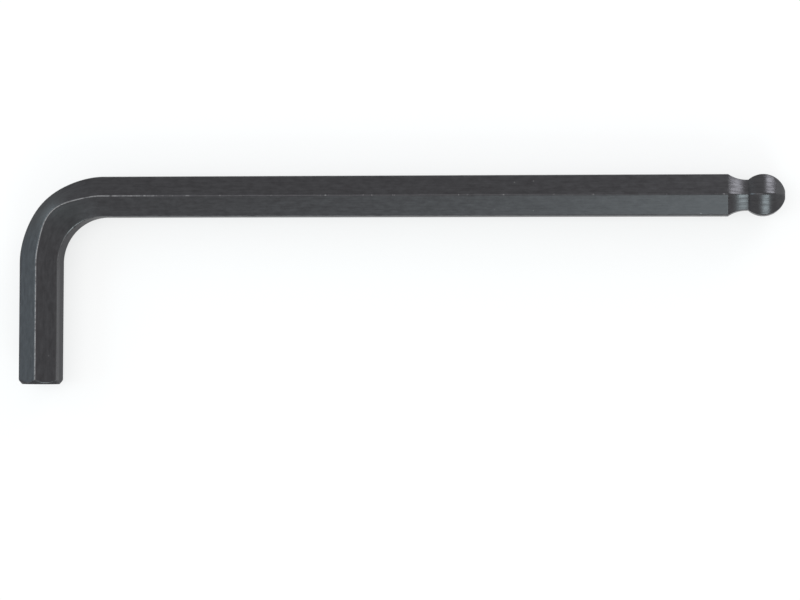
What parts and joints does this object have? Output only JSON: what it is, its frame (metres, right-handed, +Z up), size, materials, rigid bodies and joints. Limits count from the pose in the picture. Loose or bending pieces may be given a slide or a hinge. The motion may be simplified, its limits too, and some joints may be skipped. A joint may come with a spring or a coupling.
{
  "type": "hex key",
  "caption": "Bent hexagon key lying flat: long arm with a necked, six-faceted ball end, square bend, and short arm with a turned, chamfered end.",
  "frame": {"origin": "middle of the outer box in X and Y, at the height of the lower corner edges that the key lies on", "axes": "+X along the long arm towards the ball end; +Y from the short arm's end towards the back of the long arm; +Z up, out of the plane of the two arms"},
  "size_m": [0.19, 0.052, 0.0113],
  "materials": {
    "blackened_steel": "dark burnished hardened steel, satin, with worn bright corner edges"
  },
  "bodies": {
    "root": {"hex_key": "blackened_steel"}
  },
  "joints": []
}
